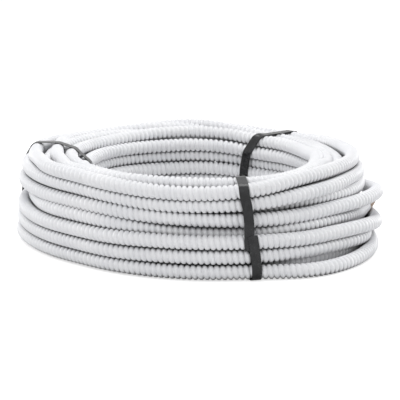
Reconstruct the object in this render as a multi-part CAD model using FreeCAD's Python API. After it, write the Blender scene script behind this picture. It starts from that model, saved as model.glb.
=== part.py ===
# A loose coil of grey corrugated PVC conduit, lying flat and tied by three plastic straps.
# Millimetres, +Z up. The coil's axis is Z, and the straps' undersides are at Z = 0.
import FreeCAD, Part

import math
import os

# The conduit, and how its turns lie in the bundle
CONDUIT_DIAMETER = 16.0
OUTER_RADIUS = 210.0
COLUMN_TURNS = (6, 6, 6, 5)
COLUMN_PITCH = 15.3
TURN_PITCH = 16.6
COLUMN_LEAN = 0.12
GROOVE_DEPTH = 4.6
FLATS_ROUND_A_TURN = 8

# The straps, with each one's azimuth from +X in degrees
STRAP_WIDTH = 9.5
STRAP_THICKNESS = 0.6
STRAP_CLEARANCE = 0.3
STRAP_AZIMUTHS = {"strap_front": -76.0, "strap_back": 55.0, "strap_left": 170.0}

# The heat-sealed lap, where a strap's tail lies on the strap itself
LAP_LENGTH = 20.0
LAP_HEIGHT = 38.0

TURN_RADIUS = CONDUIT_DIAMETER / 2
LOWEST_CENTRE = STRAP_THICKNESS + STRAP_CLEARANCE + TURN_RADIUS
LAST_COLUMN = len(COLUMN_TURNS) - 1
UP = FreeCAD.Vector(0, 0, 1)
ACROSS = FreeCAD.Vector(0, 1, 0)


def turn_centre(column, turn):
    """Centre of a turn in the section. Column 0 is the outermost, and turn 0 the lowest.

    Every second column starts half a pitch higher, so that its turns nest between their neighbours.
    """
    rise = TURN_PITCH * (turn + 0.5 * (column % 2))
    radius = OUTER_RADIUS - TURN_RADIUS - COLUMN_PITCH * column - COLUMN_LEAN * rise
    return FreeCAD.Vector(radius, 0, LOWEST_CENTRE + rise)


def boundary_centres():
    """Centres of the turns that show: up the outside, in over the top, down the bore and back."""
    outside = [turn_centre(0, turn) for turn in range(COLUMN_TURNS[0])]
    top = [turn_centre(column, COLUMN_TURNS[column] - 1) for column in range(1, LAST_COLUMN)]
    bore = [turn_centre(LAST_COLUMN, turn) for turn in reversed(range(COLUMN_TURNS[LAST_COLUMN]))]
    bottom = [turn_centre(column, 0) for column in range(LAST_COLUMN - 1, 0, -1)]
    return outside + top + bore + bottom


def angle_of(direction):
    """Angle of a direction in the section plane, from the radial direction towards +Z."""
    return math.atan2(direction.z, direction.x)


def flats_between(centre, start, end):
    """Corners of the flats that stand for a turn's round side, from angle start to angle end."""
    flat = 2 * math.pi / FLATS_ROUND_A_TURN
    corner_radius = TURN_RADIUS / math.cos(flat / 2)
    sweep = (end - start) % (2 * math.pi)
    margin = flat / 4
    first = math.ceil((start + margin) / flat - 0.5) + 0.5
    corners = []
    angle = first * flat
    while angle < start + sweep - margin:
        corner = FreeCAD.Vector(math.cos(angle), 0, math.sin(angle)) * corner_radius
        corners.append(centre + corner)
        angle += flat
    return corners


def section_outline():
    """Corners of the bundle's section, counter-clockwise as seen from -Y."""
    centres = boundary_centres()
    grooves = []
    for centre, following in zip(centres, centres[1:] + centres[:1]):
        outward = (following - centre).normalize().cross(ACROSS)
        grooves.append((centre + following) * 0.5 - outward * (TURN_RADIUS - GROOVE_DEPTH))
    corners = []
    for index, centre in enumerate(centres):
        before = grooves[index - 1]
        after = grooves[index]
        corners.append(before)
        corners += flats_between(centre, angle_of(before - centre), angle_of(after - centre))
    return corners


def closed_face(points):
    """A flat face inside the closed line through the points."""
    return Part.Face(Part.makePolygon(points + points[:1]))


def conduit_coil():
    """All the turns as one turned solid with its bore, with the turns showing on every side."""
    return closed_face(section_outline()).revolve(FreeCAD.Vector(), UP, 360)


def half_hull(points):
    """One side of the convex outline of points that are in order along X."""
    side = []
    for point in points:
        while len(side) > 1 and (side[-1] - side[-2]).cross(point - side[-1]).y >= -1e-6:
            side.pop()
        side.append(point)
    return side[:-1]


def taut_outline():
    """The line that a taut strap follows round the bundle's section."""
    ordered = sorted(section_outline(), key=lambda point: (point.x, point.z))
    corners = half_hull(ordered) + half_hull(ordered[::-1])
    return Part.makePolygon(corners + corners[:1])


def ply(inside, outside):
    """A band round the section between two distances from it, as wide as a strap."""
    outline = taut_outline()
    inner = Part.Face(outline.makeOffset2D(inside, 0))
    outer = Part.Face(outline.makeOffset2D(outside, 0))
    band = outer.cut(inner).extrude(ACROSS * STRAP_WIDTH)
    band.translate(ACROSS * (-STRAP_WIDTH / 2))
    return band


def strap(azimuth):
    """A closed strap with its lap on the outside of the bundle."""
    strap_outside = STRAP_CLEARANCE + STRAP_THICKNESS
    band = ply(STRAP_CLEARANCE, strap_outside)
    tail = ply(strap_outside, strap_outside + STRAP_THICKNESS)
    half_bundle = turn_centre(1, 0).x
    corner = FreeCAD.Vector(half_bundle, -STRAP_WIDTH, LAP_HEIGHT - LAP_LENGTH / 2)
    lap_space = Part.makeBox(OUTER_RADIUS, 2 * STRAP_WIDTH, LAP_LENGTH, corner)
    loop = band.fuse(tail.common(lap_space)).removeSplitter()
    loop.rotate(FreeCAD.Vector(), UP, azimuth)
    return loop


os.makedirs("parts", exist_ok=True)
conduit_coil().exportStep("parts/conduit_coil.step")
for name, azimuth in STRAP_AZIMUTHS.items():
    strap(azimuth).exportStep("parts/" + name + ".step")
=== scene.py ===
# A loose coil of light grey corrugated conduit with three black straps, lying on a pale floor.
# Metres in Blender; the layout of the turns is given in millimetres and degrees.
import math

import bpy
import numpy as np
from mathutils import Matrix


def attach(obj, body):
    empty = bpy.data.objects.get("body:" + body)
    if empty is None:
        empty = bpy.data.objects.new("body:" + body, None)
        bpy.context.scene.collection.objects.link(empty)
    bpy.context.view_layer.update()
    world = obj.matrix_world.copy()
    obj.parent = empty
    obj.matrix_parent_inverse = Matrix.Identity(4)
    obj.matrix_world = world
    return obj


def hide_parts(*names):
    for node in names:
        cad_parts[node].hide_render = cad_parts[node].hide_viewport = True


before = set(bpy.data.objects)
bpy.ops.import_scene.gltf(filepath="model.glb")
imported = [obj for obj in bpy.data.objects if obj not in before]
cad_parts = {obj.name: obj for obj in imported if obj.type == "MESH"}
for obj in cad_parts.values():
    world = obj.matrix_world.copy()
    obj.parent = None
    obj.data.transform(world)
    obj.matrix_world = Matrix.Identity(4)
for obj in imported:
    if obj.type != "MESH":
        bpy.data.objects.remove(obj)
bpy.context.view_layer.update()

MM = 0.001

# The conduit, and where the lines that draw a rib lie, as shares of its pitch
DIAMETER = 16.0
CREST_RADIUS = DIAMETER / 2
VALLEY_RADIUS = 6.2
RIB_PITCH = 6.15
RIB_LINES = (0.0, 0.18, 0.35, 0.44, 0.56, 0.65, 0.82)
RIB_FULLNESS = 3.0
VALLEY_FROM = 0.44
STEPS_ROUND = 16
BORE_RADIUS = 5.4
BORE_DEPTH = 60.0

# The conduit's two cut ends
END_SIDES = 36
END_LIP = 0.05
END_SETBACK = 0.1
BORE_TIP_RADIUS = 0.01

# The hidden turns in the middle of the bundle, which are plain tubes
PLAIN_RADIUS = 7.6
PLAIN_STEP = 12.0

# The tape on the outer end
TAPE_LENGTH = 32.0
TAPE_OVERHANG = 0.3
TAPE_THICKNESS = 0.3
TAPE_SAG = 0.5
TAPE_RINGS = 60
TAPE_TURNED_IN = 1.0

# The winding. Each turn moves on to its place in the bundle where that is out of sight: behind the
# coil for the outer turns, and in front for the bore's turns and those next to them.
POINTS_PER_TURN = 24
SPLINE_STEPS = 12
SHIFT_START = 64.0
BORE_SHIFT_START = 235.0
LAST_SHIFT_IN_FRONT = 7
SHIFT_SPAN = 66.0

# Radius of the bundle's outside, by azimuth from +X, counter-clockwise from above; 270 is the front
PLAN = ((15, 196), (55, 203), (112, 197), (170, 203), (200, 197), (227, 190), (255, 196),
        (284, 206), (305, 206), (330, 200), (350, 196))

# Each turn's place: how far it lies out from the plan, its height, and where it strays from that.
# A stray runs in from one azimuth to the next, holds, and runs out between the last two.
TURNS = (
    ("bore_0", -52, 8.9, ((128, 166, 190, 225, -9, 0),)),
    ("bore_1", -52, 22.9, ((128, 166, 190, 225, -10, 0), (358, 26, 60, 86, 0, -2))),
    ("bore_2", -52, 37.1, ((128, 166, 190, 225, -12, 0), (358, 26, 60, 86, 0, -4))),
    ("bore_3", -52, 51.3, ((110, 135, 152, 170, 0, 1.5), (128, 166, 190, 225, -14, 0),
                           (358, 26, 60, 86, 0, -6))),
    ("bore_4", -52, 65.5, ((128, 166, 190, 225, -15, 0), (358, 26, 60, 86, 0, -8.5),
                           (110, 135, 152, 170, 0, 1))),
    ("I", -52, 79.7, ((128, 166, 190, 225, -13, 0), (358, 26, 60, 86, 0, -8.5),
                      (110, 135, 152, 170, 2, 0.5))),
    ("H", -51, 93.5, ((358, 26, 60, 86, 0, -7.5), (60, 88, 100, 150, 7.5, 0),
                      (110, 132, 150, 168, 0, -2.5), (150, 170, 188, 210, -3, -1),
                      (195, 240, 288, 312, 11, 0), (308, 350, 15, 55, -11, 0))),
    ("core_3", -36, 72, ()),
    ("core_2", -36, 51, ()),
    ("core_1", -36, 30, ()),
    ("core_0", -34, 9, ((320, 350, 25, 60, -4, 0),)),
    ("inner_0", -15.5, 17, ((285, 305, 338, 0, 9, -3), (325, 342, 350, 8, 0, -6.5),
                            (354, 14, 25, 60, -10, -4))),
    ("inner_1", -15.5, 34, ()),
    ("R1", -22, 68.5, ((282, 298, 312, 332, 3, 7), (308, 328, 338, 356, 6, 0),
                       (308, 335, 15, 60, 6, 4))),
    ("inner_4", -20, 84.5, ((285, 340, 15, 70, -18, 2), (80, 112, 168, 200, -14, 9))),
    ("A", -17, 99.5, ((145, 172, 195, 222, -21, -3), (286, 326, 60, 110, -18, 0),
                      (300, 350, 10, 50, -15, 0), (325, 355, 20, 50, 0, -11),
                      (15, 45, 70, 82, 0, -12.5), (78, 86, 94, 104, 0, 2),
                      (100, 125, 138, 165, 0, -6))),
    ("B", 0, 93.2, ((150, 172, 192, 215, -13.5, 3), (192, 200, 220, 262, 0, 8),
                    (284, 312, 30, 110, -21, 0), (270, 290, 334, 354, 0, 3.5),
                    (284, 300, 350, 25, 0, 4), (34, 50, 60, 80, 0, -6),
                    (100, 125, 138, 165, 0, -4))),
    ("C", -5, 78, ((150, 178, 235, 265, 0, 5), (150, 172, 222, 245, 0, 3.5),
                   (258, 275, 290, 315, 0, 2), (286, 332, 15, 60, -10, 2.5),
                   (282, 300, 336, 356, 0, 5.5))),
    ("D", -8, 62.5, ((105, 135, 235, 265, 5, 5.5), (150, 172, 222, 245, 0, 2.5),
                     (160, 175, 190, 205, 2, 0), (225, 250, 272, 288, 0, 1.7),
                     (300, 322, 335, 350, 0, 3), (300, 325, 338, 348, 0, -2.2),
                     (315, 348, 354, 14, 17.5, -0.5), (350, 10, 25, 60, 0, -11))),
    ("E", 3, 42, ((65, 85, 110, 135, -5, 0), (110, 135, 185, 205, -3, -1),
                  (150, 172, 222, 245, 0, 1.8), (185, 205, 232, 252, 0, -1.9),
                  (288, 305, 345, 10, 0, -2.5),
                  (315, 332, 340, 358, 10, 0), (340, 356, 15, 60, -4, 0),
                  (325, 0, 15, 60, 0, -15.5))),
    ("F", 0, 25.5, ((65, 85, 110, 135, -5, 0), (150, 172, 188, 215, 1, -0.5),
                    (150, 172, 222, 245, 0, 2.5), (185, 205, 232, 252, 0, -1.8),
                    (305, 335, 345, 10, 0, -2.2),
                    (322, 330, 334, 350, 7, 0), (335, 358, 15, 60, -16, -3.5))),
    ("G", 0, 8.9, ((65, 85, 110, 135, -5, 0), (150, 172, 180, 200, 3, 0),
                   (150, 172, 192, 212, 0, 2), (195, 212, 235, 250, -2.5, 1),
                   (290, 303, 330, 355, 13, 0), (292, 303, 315, 332, 6, -0.8),
                   (345, 358, 15, 60, -8, 0))),
    ("D2", -15.5, 52, ((40, 64, 130, 172, 27, 2), (150, 172, 178, 200, 3, 2),
                       (150, 172, 222, 245, 0, 2.5), (185, 212, 235, 268, 15, 3),
                       (246, 264, 290, 305, -0.5, -5.5), (283, 300, 330, 350, 6, -1),
                       (295, 310, 335, 346, 0, -1.5), (325, 352, 15, 60, 5, -11),
                       (325, 340, 346, 358, 0, -4), (348, 0, 4, 20, 9.5, 1.7))),
)

# The bore's turns lie in and out by turns, this far from their place, and change over in front
LAST_BORE_TURN = 5
BORE_STAGGER = 3.4
STAGGER_QUICKNESS = 4

# How far the last turn swings out as it climbs over the turns that it crosses
CROSSING_RISE = 8.0

# Runs of turns that are one piece each; the hidden ones carry no ribs
RUNS = (("conduit_bore_low", 0, True), ("conduit_bore_high", 3, True), ("conduit_core", 7, False),
        ("conduit_recessed", 11, True), ("conduit_top", 15, True), ("conduit_outer_high", 17, True),
        ("conduit_outer_low", 20, True))

# Where the conduit starts and ends, as angles along its winding
START_ANGLE = -58.0
LAST_ANGLE = 2.0 + 360.0 * (len(TURNS) - 1)

# Where the ribs of neighbouring turns are set against each other, and the turns set half a rib on
FRONT_AZIMUTH = 272.0
BORE_AZIMUTH = 90.0
FIRST_OUTER_TURN = 8
HALF_RIB_ON = ("A", "B", "C")

# The straps, whose laps and welds are in degrees from the start of a strap's way
STRAP_WIDTH = 10.8
STRAP_THICKNESS = 0.6
STRAP_GAP = 0.25
STRAP_CELL = 0.72
EMBOSS_PITCH = 2.4
EMBOSS_DEPTH = 0.12
LAP_SWEEP = 23.0
LAP_RAMP = 10.0
PLY_GAP = 0.05
WELD_MIDDLE = 7.0
WELD_SWEEP = 5.0

# The way of each strap round the bundle: from the start of its outer ply at the lap, down the
# outside, in under the coil, up the bore and back over the top. It is given as pairs of a direction
# from the middle of the bundle's section and an azimuth, in degrees. A direction of 0 is outward,
# -90 down, -180 inward and -270 up. The middle is given as how far in from the plan it is, and how
# high.
STRAPS = (
    ("strap_front", ((-3, 284.8), (-26, 285.5), (-45, 286.2), (-90, 286.7), (-180, 285),
                     (-280, 283.2), (-306, 282.5), (-314, 283.1), (-322, 283.6), (-345, 284),
                     (-362, 283.9), (-386, 284.2))),
    ("strap_back", ((-3, 54.5), (-45, 59), (-90, 64), (-135, 67.5), (-180, 67), (-209, 65.5),
                    (-228, 62.3), (-245, 57.5), (-270, 54), (-300, 52), (-345, 52.5), (-386, 54))),
    ("strap_left", ((-3, 168), (-45, 169), (-90, 171), (-180, 174), (-230, 174), (-270, 170.5),
                    (-300, 170), (-345, 168), (-386, 168))),
)
SECTION_MIDDLE = (27.0, 52.0)

# How finely a strap's way is followed, in degrees, and how often its corners are evened out
SWEEP_STEP = 1.5
HULL_STEP = 10
AZIMUTH_ROUNDS = 6
NORMAL_ROUNDS = 2

# The range that noise textures mostly keep to, and the rays that look for a surface's surroundings
NOISE_RANGE = (0.3, 0.7)
SHADE_SAMPLES = 8

# The floor, the world and the lamps. A lamp has a name, a place and a size in metres, and watts.
FLOOR_SIZE = 12
FLOOR_COLOUR = (0.8, 0.8, 0.8)
FLOOR_GLOW = 0.6
WORLD_LIGHT = 0.46
WHITE = (1, 1, 1, 1)
LAMPS = (
    ("overhead", (0.0, 0.2, 1.5), (1.2, 0.9), 11.5),
    ("front", (-0.4, -1.7, 1.1), (1.0, 0.7), 10.5),
    ("left", (-1.5, 0.6, 0.45), (0.4, 0.4), 8.5),
    ("right", (1.5, 0.6, 0.45), (0.4, 0.4), 11.5),
)

# The camera: how far it looks down, in degrees; how far it is from the point that it looks at and
# how high that point is, in metres; its lens and sensor, in millimetres; its shift and clipping
CAMERA_TILT = 12.3
CAMERA_AWAY = 2.15
CAMERA_AIM = 0.052
CAMERA_LENS = 167.9
CAMERA_SENSOR = 36.0
CAMERA_SHIFT = (0.00125, -0.021)
CAMERA_CLIP = (0.1, 50)


def smooth(share):
    """0 to 1, easing in and out."""
    share = min(1.0, max(0.0, share))
    return share * share * (3 - 2 * share)


def ahead(azimuth, start):
    """How many degrees an azimuth lies counter-clockwise of another."""
    return (azimuth - start) % 360.0


def plan_radius(azimuth):
    """Radius of the bundle's outside, with a smooth way from each given azimuth to the next."""
    for index, (start, radius) in enumerate(PLAN):
        following, after = PLAN[(index + 1) % len(PLAN)]
        gap = ahead(following, start)
        if ahead(azimuth, start) < gap:
            return radius + (after - radius) * smooth(ahead(azimuth, start) / gap)
    return PLAN[0][1]


def stray_share(azimuth, start, full, until, end):
    """How far a stray is run in at an azimuth, from 0 to 1."""
    travelled = ahead(azimuth, start)
    if travelled >= ahead(end, start):
        return 0.0
    if travelled < ahead(full, start):
        return smooth(travelled / ahead(full, start))
    if travelled <= ahead(until, start):
        return 1.0
    return 1.0 - smooth(ahead(azimuth, until) / ahead(end, until))


def place_of(turn, azimuth):
    """Radius and height of a turn's centre at an azimuth."""
    _, out, height, strays = TURNS[turn]
    radius = plan_radius(azimuth) + out
    for start, full, until, end, outward, upward in strays:
        share = stray_share(azimuth, start, full, until, end)
        radius += outward * share
        height += upward * share
    return radius, height


def shift_angle(turn):
    """The winding angle at which the conduit starts to move to a turn's place."""
    start = BORE_SHIFT_START if turn <= LAST_SHIFT_IN_FRONT else SHIFT_START
    return 360.0 * (turn - 1) + start


def centre_at(angle):
    """Radius and height of the conduit's centre, angle degrees along its winding."""
    azimuth = angle % 360.0
    turn = max([0] + [later for later in range(1, len(TURNS)) if shift_angle(later) <= angle])
    radius, height = place_of(turn, azimuth)
    share = smooth((angle - shift_angle(turn)) / SHIFT_SPAN)
    if turn > 0:
        before, height_before = place_of(turn - 1, azimuth)
        radius = before + (radius - before) * share
        height = height_before + (height - height_before) * share
    if turn <= LAST_BORE_TURN + 1:
        side = STAGGER_QUICKNESS * math.cos(math.radians(angle - BORE_AZIMUTH) / 2)
        side = max(-1.0, min(1.0, side))
        radius += BORE_STAGGER * side * (1.0 if turn <= LAST_BORE_TURN else 1.0 - share)
    if turn == len(TURNS) - 1:
        radius += CROSSING_RISE * math.sin(math.pi * share)
    return radius, height


def route_points():
    """Control points of the conduit's line, from its inner end to its outer end.

    They lie a little further out than the line, because it cuts the corners between them.
    """
    turned = LAST_ANGLE - START_ANGLE
    count = round(turned / 360.0 * POINTS_PER_TURN)
    gain = 1 / math.cos(math.radians(turned / count / 2))
    points = []
    for index in range(count + 1):
        angle = START_ANGLE + turned * index / count
        radius, height = centre_at(angle)
        bearing = math.radians(angle)
        points.append((radius * gain * math.cos(bearing) * MM,
                       radius * gain * math.sin(bearing) * MM, height * MM))
    return points


def read_spline(points):
    """Points of the NURBS line that has these control points."""
    data = bpy.data.curves.new("route", "CURVE")
    data.dimensions = "3D"
    data.resolution_u = SPLINE_STEPS
    spline = data.splines.new("NURBS")
    spline.points.add(len(points) - 1)
    for point, place in zip(spline.points, points):
        point.co = (*place, 1.0)
    spline.order_u = 3
    spline.use_endpoint_u = True
    holder = bpy.data.objects.new("route", data)
    bpy.context.scene.collection.objects.link(holder)
    mesh = bpy.data.meshes.new_from_object(holder)
    line = np.array([vertex.co for vertex in mesh.vertices])
    bpy.data.objects.remove(holder)
    bpy.data.curves.remove(data)
    bpy.data.meshes.remove(mesh)
    return line


def distances_along(points):
    """How far each point is from the first, along the line through them."""
    runs = np.linalg.norm(np.diff(points, axis=0), axis=1)
    return np.concatenate([[0.0], np.cumsum(runs)])


def read_at(distance, along, vectors):
    """Vectors at distances along a line, from the vectors that its points have."""
    return np.stack([np.interp(distance, along, vectors[:, axis]) for axis in range(3)], -1)


def unit(vectors):
    """Vectors of the same directions, each with a length of one."""
    return vectors / np.linalg.norm(vectors, axis=-1, keepdims=True)


class Line:
    """A smooth line that is read by the distance along it."""

    def __init__(self, points):
        self.points = points
        self.along = distances_along(points)
        self.length = self.along[-1]
        self.tangents = unit(np.gradient(points, self.along, axis=0))
        self.turned = np.unwrap(np.arctan2(points[:, 1], points[:, 0]))
        self.turned += math.radians(START_ANGLE) - self.turned[0]

    def at(self, distance):
        """The line's places at distances, with the directions sideways and upward of it."""
        centre = read_at(distance, self.along, self.points)
        tangent = unit(read_at(distance, self.along, self.tangents))
        sideways = unit(np.cross(tangent, (0.0, 0.0, 1.0)))
        return centre, sideways, np.cross(sideways, tangent)

    def where(self, angle):
        """Distance along the line at a winding angle in degrees."""
        return float(np.interp(math.radians(angle), self.turned, self.along))


def new_mesh(name, points, faces):
    """A smooth-shaded object from arrays of points and of faces with one number of corners."""
    points = np.asarray(points, dtype=np.float64)
    faces = np.asarray(faces, dtype=np.int32)
    corners = faces.shape[1]
    mesh = bpy.data.meshes.new(name)
    mesh.vertices.add(len(points))
    mesh.vertices.foreach_set("co", points.ravel())
    mesh.loops.add(faces.size)
    mesh.loops.foreach_set("vertex_index", faces.ravel())
    mesh.polygons.add(len(faces))
    starts = np.arange(0, faces.size, corners, dtype=np.int32)
    mesh.polygons.foreach_set("loop_start", starts)
    mesh.polygons.foreach_set("loop_total", np.full(len(faces), corners, dtype=np.int32))
    mesh.polygons.foreach_set("use_smooth", np.full(len(faces), True))
    mesh.update(calc_edges=True)
    mesh.validate()
    made = bpy.data.objects.new(name, mesh)
    bpy.context.scene.collection.objects.link(made)
    return made


def rib_height(share):
    """How high the wall stands at a share of a rib's pitch: broad round crests, narrow hollows."""
    from_crest = min(share, 1 - share) / VALLEY_FROM
    return 1 - min(1.0, from_crest) ** RIB_FULLNESS


def rib_marks(line):
    """Distances along the line with the rib number that each one carries."""
    distances, numbers = [0.0], [0.0]
    for turn, (name, _, _, _) in enumerate(TURNS):
        if turn >= FIRST_OUTER_TURN:
            angle = FRONT_AZIMUTH + 360.0 * (turn - 1)
        else:
            angle = BORE_AZIMUTH + 360.0 * turn
        distance = line.where(angle)
        wanted = numbers[-1] + (distance - distances[-1]) / (RIB_PITCH * MM)
        phase = 0.5 if name in HALF_RIB_ON else 0.0
        distances.append(distance)
        numbers.append(round(wanted - phase) + phase)
    distances.append(line.length)
    numbers.append(numbers[-1] + (distances[-1] - distances[-2]) / (RIB_PITCH * MM))
    return distances, numbers


def ribbed_tube(line, first_rib, last_rib):
    """The helically ribbed wall from one rib of the line to another.

    Gives its points, its faces, and how high each point stands on its rib.
    """
    steps = (last_rib - first_rib) * STEPS_ROUND
    lines = len(RIB_LINES)
    points, heights, starts = [], [], []
    for index, share in enumerate(RIB_LINES):
        count = steps + 1 + (STEPS_ROUND if index == 0 else 0)
        step = np.arange(count)
        distance = np.interp(first_rib + share + step / STEPS_ROUND, rib_numbers, rib_distances)
        turn = 2 * np.pi * step / STEPS_ROUND
        centre, sideways, upward = line.at(distance)
        starts.append(sum(len(p) for p in points))
        radius = (VALLEY_RADIUS + (CREST_RADIUS - VALLEY_RADIUS) * rib_height(share)) * MM
        heights += [rib_height(share)] * count
        points.append(centre + radius * (np.cos(turn)[:, None] * sideways
                                         - np.sin(turn)[:, None] * upward))
    step = np.arange(steps)
    faces = []
    for index in range(lines):
        near = starts[index] + step
        far = starts[index + 1] + step if index + 1 < lines else starts[0] + step + STEPS_ROUND
        faces.append(np.stack([near, near + 1, far + 1, far], -1))
    return np.vstack(points), np.vstack(faces), heights


def keep_rib_heights(piece, heights):
    """Keeps the heights on the mesh for the material's painted shade in the rib hollows. Any
    further points count as crests.
    """
    values = np.ones(len(piece.data.vertices))
    values[:len(heights)] = heights
    layer = piece.data.attributes.new("rib_height", "FLOAT", "POINT")
    layer.data.foreach_set("value", values)


def rings_tube(line, distances, radii, around):
    """Points and faces of a tube of plain rings."""
    turn = 2 * np.pi * np.arange(around) / around
    centre, sideways, upward = line.at(np.asarray(distances))
    ring = (np.cos(turn)[None, :, None] * sideways[:, None]
            + np.sin(turn)[None, :, None] * upward[:, None])
    points = centre[:, None] + ring * np.asarray(radii)[:, None, None]
    index = np.arange(len(distances) * around).reshape(len(distances), around)
    after = np.roll(index, -1, axis=1)
    faces = np.stack([index[:-1], index[1:], after[1:], after[:-1]], -1).reshape(-1, 4)
    return points.reshape(-1, 3), faces


def cut_end(line, distance, outward):
    """A cut face of the conduit and the bore going in. Outward is 1 at the line's end, else -1."""
    steps = np.array([-4 * END_LIP, END_LIP, END_LIP, -BORE_DEPTH, -BORE_DEPTH])
    rim_radius = CREST_RADIUS - END_SETBACK
    radii = np.array([rim_radius, rim_radius, BORE_RADIUS, BORE_RADIUS, BORE_TIP_RADIUS])
    points, faces = rings_tube(line, distance + steps * outward * MM, radii * MM, END_SIDES)
    return points, faces if outward > 0 else faces[:, ::-1]


def joined(*parts):
    """Points and faces of several parts as one."""
    points, faces, count = [], [], 0
    for part_points, part_faces in parts:
        points.append(part_points)
        faces.append(part_faces + count)
        count += len(part_points)
    return np.vstack(points), np.vstack(faces)


conduit_line = Line(read_spline(route_points()))
rib_distances, rib_numbers = rib_marks(conduit_line)


def rib_at(angle):
    """Number of the rib at a winding angle."""
    return int(np.interp(conduit_line.where(angle), rib_distances, rib_numbers))


conduit_pieces = []
shared_ribs = [rib_at(shift_angle(first) + (0.0 if ribbed else SHIFT_SPAN))
               for _, first, ribbed in RUNS[1:]]
rib_starts = [-1] + shared_ribs + [int(rib_numbers[-1]) + 1]

for position, (name, _, ribbed) in enumerate(RUNS):
    first_rib, last_rib = rib_starts[position:position + 2]
    start, end = np.interp((first_rib, last_rib), rib_numbers, rib_distances)
    if ribbed:
        points, faces, heights = ribbed_tube(conduit_line, first_rib, last_rib)
    else:
        distances = np.linspace(start, end, int((end - start) / (PLAIN_STEP * MM)))
        radii = np.full(len(distances), PLAIN_RADIUS * MM)
        points, faces = rings_tube(conduit_line, distances, radii, STEPS_ROUND)
        heights = []
    if position == 0:
        points, faces = joined((points, faces), cut_end(conduit_line, 0.0, -1))
    last_run = position == len(RUNS) - 1
    if last_run:
        points, faces = joined((points, faces), cut_end(conduit_line, conduit_line.length, 1))
    piece = new_mesh(name, points, faces)
    keep_rib_heights(piece, heights)
    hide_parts("conduit_coil")
    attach(piece, "root")
    conduit_pieces.append(piece)


def taped_end(line):
    """Brown tape wound on the last stretch of the conduit, sagging a little between its ribs."""
    start = line.length - TAPE_LENGTH * MM
    distances = np.linspace(start, line.length + TAPE_OVERHANG * MM, TAPE_RINGS)
    numbers = np.interp(distances, rib_distances, rib_numbers)
    sag = TAPE_SAG * (1 - np.cos(2 * np.pi * numbers)) / 2
    radii = (CREST_RADIUS + TAPE_THICKNESS - sag) * MM
    turned_in = line.length - TAPE_TURNED_IN * MM
    distances = np.concatenate([[start], distances, distances[-1:], [turned_in]])
    radii = np.concatenate([[VALLEY_RADIUS * MM], radii, [(BORE_RADIUS - END_SETBACK) * MM] * 2])
    points, faces = rings_tube(line, distances, radii, END_SIDES)
    return new_mesh("taped_end", points, faces)


tape = taped_end(conduit_line)
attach(tape, "root")


def principled(name, colour, roughness):
    """A material of a plain colour, with its shader."""
    material = bpy.data.materials.new(name)
    material.use_nodes = True
    shader = material.node_tree.nodes["Principled BSDF"]
    shader.inputs["Base Color"].default_value = (*colour, 1.0)
    shader.inputs["Roughness"].default_value = roughness
    return material, shader


def noise(material, scale, detail=2.0, stretch=(1, 1, 1)):
    """A noise texture in the object's own metres, stretched along the axes."""
    nodes, links = material.node_tree.nodes, material.node_tree.links
    place = nodes.new("ShaderNodeTexCoord")
    mapping = nodes.new("ShaderNodeMapping")
    mapping.inputs["Scale"].default_value = stretch
    texture = nodes.new("ShaderNodeTexNoise")
    texture.inputs["Scale"].default_value = scale
    texture.inputs["Detail"].default_value = detail
    links.new(place.outputs["Object"], mapping.inputs["Vector"])
    links.new(mapping.outputs["Vector"], texture.inputs["Vector"])
    return texture.outputs[0]


def ramp(material, value, stops):
    """Colours by a value, from (position, colour) stops."""
    node = material.node_tree.nodes.new("ShaderNodeValToRGB")
    elements = node.color_ramp.elements
    while len(elements) < len(stops):
        elements.new(0.5)
    for element, (position, colour) in zip(elements, stops):
        element.position = position
        element.color = (*colour, 1.0)
    material.node_tree.links.new(value, node.inputs[0])
    return node.outputs["Color"]


def times(material, first, second):
    """The product of two colours."""
    node = material.node_tree.nodes.new("ShaderNodeVectorMath")
    node.operation = "MULTIPLY"
    material.node_tree.links.new(first, node.inputs[0])
    material.node_tree.links.new(second, node.inputs[1])
    return node.outputs[0]


def spread(material, value, low, high):
    """A noise value brought to another range."""
    node = material.node_tree.nodes.new("ShaderNodeMapRange")
    sockets = ("From Min", "From Max", "To Min", "To Max")
    for socket, number in zip(sockets, (*NOISE_RANGE, low, high)):
        node.inputs[socket].default_value = number
    material.node_tree.links.new(value, node.inputs["Value"])
    return node.outputs[0]


def shade(material, reach, stops):
    """Painted shade: colours by how open the surface is to its surroundings within a reach in
    metres.
    """
    node = material.node_tree.nodes.new("ShaderNodeAmbientOcclusion")
    node.samples = SHADE_SAMPLES
    node.inputs["Distance"].default_value = reach
    return ramp(material, node.outputs["AO"], stops)


def grain(material, shader, value, depth):
    """Bumps the surface by a value, depth metres deep."""
    bump = material.node_tree.nodes.new("ShaderNodeBump")
    bump.inputs["Distance"].default_value = depth
    material.node_tree.links.new(value, bump.inputs["Height"])
    material.node_tree.links.new(bump.outputs["Normal"], shader.inputs["Normal"])


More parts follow.
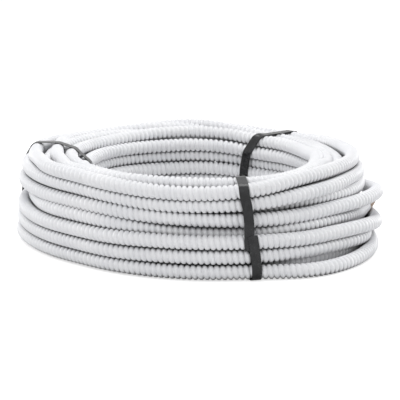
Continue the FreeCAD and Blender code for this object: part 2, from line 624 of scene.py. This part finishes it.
def grey_pvc():
    """Light grey PVC: faint clouds, painted shade between the turns and in the rib hollows, a fine
    grain and a few dull scuffs.
    """
    material, shader = principled("grey_pvc", (0.78, 0.785, 0.805), 0.42)
    links = material.node_tree.links
    plain = (1.0, 1.0, 1.0)
    clouds = ramp(material, noise(material, 22, 3),
                  ((0.3, (0.755, 0.762, 0.785)), (0.7, (0.81, 0.812, 0.828))))
    # Painted shade: the rib hollows are coloured a touch darker than the crests, from the rib
    # heights kept on the mesh.
    crest = material.node_tree.nodes.new("ShaderNodeAttribute")
    crest.attribute_name = "rib_height"
    hollows = ramp(material, crest.outputs["Fac"], ((0.0, (0.985, 0.986, 0.987)), (0.5, plain)))
    scuffs = ramp(material, noise(material, 140, 4, (1, 1, 0.4)),
                  ((0.0, plain), (0.66, plain), (0.74, (0.93, 0.93, 0.925))))
    # Painted shade: the colour goes down to near black where little is open around the surface, as
    # between the turns.
    painted_crevice_shade = shade(material, 0.012, ((0.0, (0.06, 0.06, 0.06)), (0.52, plain)))
    tone_and_hollow_shade = times(material, times(material, clouds, hollows), scuffs)
    links.new(times(material, tone_and_hollow_shade, painted_crevice_shade), shader.inputs["Base Color"])
    links.new(spread(material, noise(material, 60, 4), 0.36, 0.52), shader.inputs["Roughness"])
    grain(material, shader, noise(material, 1400, 2), 0.00003)
    return material


def black_strapping():
    """Black polypropylene strapping: rubbed a little grey, with fine drawn lines."""
    material, shader = principled("black_strapping", (0.02, 0.021, 0.024), 0.35)
    links = material.node_tree.links
    rubbed = ramp(material, noise(material, 160, 5),
                  ((0.4, (0.006, 0.0063, 0.0075)), (0.75, (0.022, 0.023, 0.025))))
    links.new(rubbed, shader.inputs["Base Color"])
    links.new(spread(material, noise(material, 90, 4), 0.16, 0.3), shader.inputs["Roughness"])
    grain(material, shader, noise(material, 900, 3, (1, 1, 0.2)), 0.00002)
    return material


def brown_tape():
    """Brown tape with a slight sheen, darker and lighter in streaks."""
    material, shader = principled("brown_tape", (0.2, 0.122, 0.067), 0.4)
    links = material.node_tree.links
    tape_streaks = ramp(material, noise(material, 260, 4, (0.4, 1, 1)),
                    ((0.35, (0.13, 0.078, 0.045)), (0.65, (0.26, 0.165, 0.095))))
    links.new(tape_streaks, shader.inputs["Base Color"])
    links.new(spread(material, noise(material, 200, 3), 0.3, 0.5), shader.inputs["Roughness"])
    grain(material, shader, noise(material, 420, 3), 0.0001)
    return material


conduit_material = grey_pvc()
for piece in conduit_pieces:
    piece.data.materials.append(conduit_material)
strap_material = black_strapping()
tape.data.materials.append(brown_tape())


def crossings(azimuth):
    """Radius and height of the conduit's centre wherever it crosses an azimuth."""
    angles = np.arange(START_ANGLE + ahead(azimuth, START_ANGLE), LAST_ANGLE, 360.0)
    distances = np.interp(np.radians(angles), conduit_line.turned, conduit_line.along)
    return [(math.hypot(x, y), z) for x, y, z in conduit_line.at(distances)[0] / MM]


def hull(points):
    """The convex outline of points, counter-clockwise."""
    points = sorted(set(points))
    sides = []
    for ordered in (points, points[::-1]):
        side = []
        for x, y in ordered:
            while len(side) > 1 and ((side[-1][0] - side[-2][0]) * (y - side[-2][1])
                                     - (side[-1][1] - side[-2][1]) * (x - side[-2][0])) <= 0:
                side.pop()
            side.append((x, y))
        sides += side[:-1]
    return np.array(sides)


def taut_place(azimuth, direction):
    """Radius and height where a taut strap lies on the bundle, in a direction from its middle."""
    reach = CREST_RADIUS + STRAP_GAP
    round_turn = [(math.cos(math.radians(a)) * reach, math.sin(math.radians(a)) * reach)
                  for a in range(0, 360, HULL_STEP)]
    corners = hull([(radius + x, height + y) for radius, height in crossings(azimuth)
                    for x, y in round_turn])
    middle = np.array([plan_radius(azimuth) - SECTION_MIDDLE[0], SECTION_MIDDLE[1]])
    edges = np.roll(corners, -1, axis=0) - corners
    normals = np.stack([edges[:, 1], -edges[:, 0]], -1)
    ray = np.array([math.cos(math.radians(direction)), math.sin(math.radians(direction))])
    facing = normals @ ray
    away = np.einsum("ij,ij->i", normals, corners - middle)
    met = facing > 1e-9
    return middle + ray * (away[met] / facing[met]).min()


def evened(values, rounds):
    """Values of which each inner one is drawn towards its neighbours, a number of times."""
    for _ in range(rounds):
        values[1:-1] = (values[:-2] + 2 * values[1:-1] + values[2:]) / 4
    return values


def strap_frames(way):
    """A strap's way, evenly spaced along its inner face.

    Gives the distance along it, the degrees swept round the section, the places, and the directions
    outward and across.
    """
    directions = np.arange(way[0][0], way[-1][0] - SWEEP_STEP / 2, -SWEEP_STEP)
    azimuths = np.interp(-directions, [-d for d, _ in way], [a for _, a in way])
    azimuths = evened(azimuths, AZIMUTH_ROUNDS)
    section = np.array([taut_place(a, d) for a, d in zip(azimuths, directions)])
    turned = np.radians(azimuths)
    outward = np.stack([np.cos(turned), np.sin(turned), np.zeros_like(turned)], -1)
    upright = np.array([0.0, 0.0, 1.0])
    centre = outward * section[:, :1] + upright * section[:, 1:]
    slope = np.gradient(section, axis=0)
    normal = evened(-outward * slope[:, 1:] + upright * slope[:, :1], NORMAL_ROUNDS)
    along = distances_along(centre)
    even = np.linspace(0, along[-1], int(along[-1] / STRAP_CELL))
    centre = read_at(even, along, centre)
    normal = read_at(even, along, normal)
    swept = np.interp(even, along, way[0][0] - directions)
    forward = unit(np.gradient(centre, axis=0))
    normal = unit(normal - forward * np.einsum("ij,ij->i", normal, forward)[:, None])
    return even, swept, centre, normal, np.cross(forward, normal)


def strap(name, way):
    """An embossed strap round the bundle, its outer ply welded over its tail."""
    along, swept, centre, normal, across = strap_frames(way)
    lift = np.array([1 - smooth((turned - LAP_SWEEP) / LAP_RAMP) for turned in swept])
    base = centre + normal * (lift * (STRAP_THICKNESS + PLY_GAP))[:, None]
    cells = round(STRAP_WIDTH / STRAP_CELL)
    offsets = (np.arange(cells + 1) / cells - 0.5) * STRAP_WIDTH
    wave = (np.cos(2 * np.pi * along / EMBOSS_PITCH)[:, None]
            * np.cos(2 * np.pi * offsets / EMBOSS_PITCH)[None, :])
    pressed = np.array([smooth(abs(turned - WELD_MIDDLE) / WELD_SWEEP) for turned in swept])
    thickness = STRAP_THICKNESS - EMBOSS_DEPTH * (1 - wave * pressed[:, None]) / 2
    outer = (base[:, None] + across[:, None] * offsets[None, :, None]
             + normal[:, None] * thickness[:, :, None])
    inner = base[:, None] + across[:, None] * offsets[None, ::-1, None]
    rows = np.concatenate([outer, inner], axis=1)
    count, wide = rows.shape[:2]
    index = np.arange(count * wide).reshape(count, wide)
    beside = np.roll(index, -1, axis=1)
    sides = np.stack([index[:-1], beside[:-1], beside[1:], index[1:]], -1).reshape(-1, 4)
    cell = np.arange(cells)
    near_end = np.stack([cell, wide - 1 - cell, wide - 2 - cell, cell + 1], -1)
    far_end = near_end[:, ::-1] + index[-1, 0]
    faces = np.vstack([sides, near_end, far_end])
    return new_mesh(name + "_embossed", rows.reshape(-1, 3) * MM, faces)


for name, way in STRAPS:
    piece = strap(name, way)
    piece.data.materials.append(strap_material)
    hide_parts(name)
    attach(piece, "root")


def pale_floor():
    """The floor, which keeps the object's shadow and glows a little for the camera alone."""
    bpy.ops.mesh.primitive_plane_add(size=FLOOR_SIZE)
    floor = bpy.context.active_object
    floor.name = "floor"
    material, shader = principled("pale_floor", FLOOR_COLOUR, 0.9)
    nodes, links = material.node_tree.nodes, material.node_tree.links
    path = nodes.new("ShaderNodeLightPath")
    glow = nodes.new("ShaderNodeEmission")
    glow.inputs["Color"].default_value = WHITE
    glow.inputs["Strength"].default_value = FLOOR_GLOW
    both = nodes.new("ShaderNodeAddShader")
    mix = nodes.new("ShaderNodeMixShader")
    links.new(shader.outputs[0], both.inputs[0])
    links.new(glow.outputs[0], both.inputs[1])
    links.new(path.outputs["Is Camera Ray"], mix.inputs["Fac"])
    links.new(shader.outputs[0], mix.inputs[1])
    links.new(both.outputs[0], mix.inputs[2])
    links.new(mix.outputs[0], nodes["Material Output"].inputs["Surface"])
    floor.data.materials.append(material)


def either(nodes, links, first, second):
    """The larger of two values."""
    node = nodes.new("ShaderNodeMath")
    node.operation = "MAXIMUM"
    links.new(first, node.inputs[0])
    links.new(second, node.inputs[1])
    return node.outputs[0]


def studio():
    """A world that lights the object softly and is white where it is seen, also in reflections."""
    world = bpy.data.worlds.new("studio")
    bpy.context.scene.world = world
    world.use_nodes = True
    nodes, links = world.node_tree.nodes, world.node_tree.links
    light = nodes["Background"]
    light.inputs["Color"].default_value = WHITE
    light.inputs["Strength"].default_value = WORLD_LIGHT
    backdrop = nodes.new("ShaderNodeBackground")
    backdrop.inputs["Color"].default_value = WHITE
    backdrop.inputs["Strength"].default_value = 1.0
    rays = nodes.new("ShaderNodeLightPath").outputs
    mirrored = either(nodes, links, rays["Is Glossy Ray"], rays["Is Transmission Ray"])
    mix = nodes.new("ShaderNodeMixShader")
    links.new(either(nodes, links, rays["Is Camera Ray"], mirrored), mix.inputs["Fac"])
    links.new(light.outputs[0], mix.inputs[1])
    links.new(backdrop.outputs[0], mix.inputs[2])
    links.new(mix.outputs[0], nodes["World Output"].inputs["Surface"])


def softbox(name, place, size, power):
    """A large soft lamp that faces the coil."""
    lamp = bpy.data.lights.new(name, "AREA")
    lamp.shape = "RECTANGLE"
    lamp.size, lamp.size_y = size
    lamp.energy = power
    holder = bpy.data.objects.new(name, lamp)
    holder.location = place
    holder.rotation_euler = (-holder.location).to_track_quat("-Z", "Y").to_euler()
    bpy.context.scene.collection.objects.link(holder)


def camera():
    """The camera of the photograph: a long lens, a little above the coil."""
    data = bpy.data.cameras.new("camera")
    data.sensor_width = CAMERA_SENSOR
    data.lens = CAMERA_LENS
    data.shift_x, data.shift_y = CAMERA_SHIFT
    data.clip_start, data.clip_end = CAMERA_CLIP
    eye = bpy.data.objects.new("camera", data)
    tilt = math.radians(CAMERA_TILT)
    eye.location = (0, -CAMERA_AWAY * math.cos(tilt), CAMERA_AIM + CAMERA_AWAY * math.sin(tilt))
    eye.rotation_euler = (math.radians(90) - tilt, 0, 0)
    bpy.context.scene.collection.objects.link(eye)
    bpy.context.scene.camera = eye


bpy.context.scene.view_settings.view_transform = "Standard"
pale_floor()
studio()
for lamp in LAMPS:
    softbox(*lamp)
camera()
